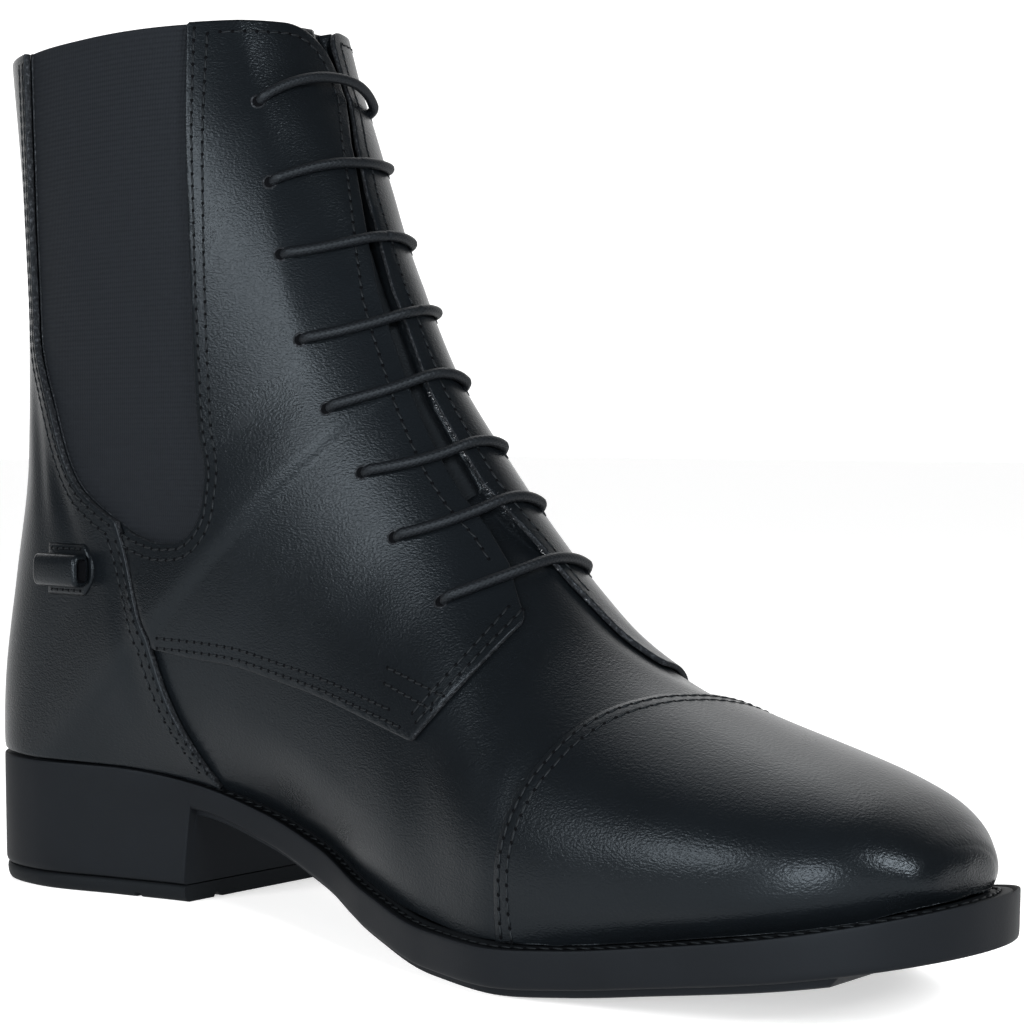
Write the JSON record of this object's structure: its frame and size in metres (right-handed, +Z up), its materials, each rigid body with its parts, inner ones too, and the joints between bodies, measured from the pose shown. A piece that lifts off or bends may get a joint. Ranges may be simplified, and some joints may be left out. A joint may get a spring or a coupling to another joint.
{
  "type": "jodhpur boot",
  "caption": "Ankle-high riding boot: hollow leather upper with laced front, elastic side gores and toe cap, open at the collar, on a welted rubber sole with a low heel.",
  "frame": {"origin": "middle of the boot's box, on the floor it stands on", "axes": "+X towards the toe, +Y towards the outer side of the foot, +Z up"},
  "size_m": [0.284, 0.093, 0.2111],
  "materials": {
    "smooth_leather": "smooth, lightly polished",
    "tongue_leather": "soft",
    "moulded_rubber": "matt",
    "top_lift_rubber": "matt",
    "welt_rubber": "matt",
    "insole_board": "matt",
    "elastic_webbing": "ribbed",
    "elastic_cord": "matt",
    "spur_rest_leather": "smooth"
  },
  "bodies": {
    "root": {"counter": "smooth_leather", "gore_inner": "elastic_webbing", "gore_outer": "elastic_webbing", "heel_top_lift": "top_lift_rubber", "insole": "insole_board", "lace_bar_1": "elastic_cord", "lace_bar_2": "elastic_cord", "lace_bar_3": "elastic_cord", "lace_bar_4": "elastic_cord", "lace_bar_5": "elastic_cord", "lace_bar_6": "elastic_cord", "lace_bar_7": "elastic_cord", "lace_bar_8": "elastic_cord", "outsole": "moulded_rubber", "quarter_inner": "smooth_leather", "quarter_outer": "smooth_leather", "spur_rest_inner": "spur_rest_leather", "spur_rest_outer": "spur_rest_leather", "toe_cap": "smooth_leather", "tongue": "tongue_leather", "upper": "smooth_leather", "welt": "welt_rubber"}
  },
  "joints": []
}
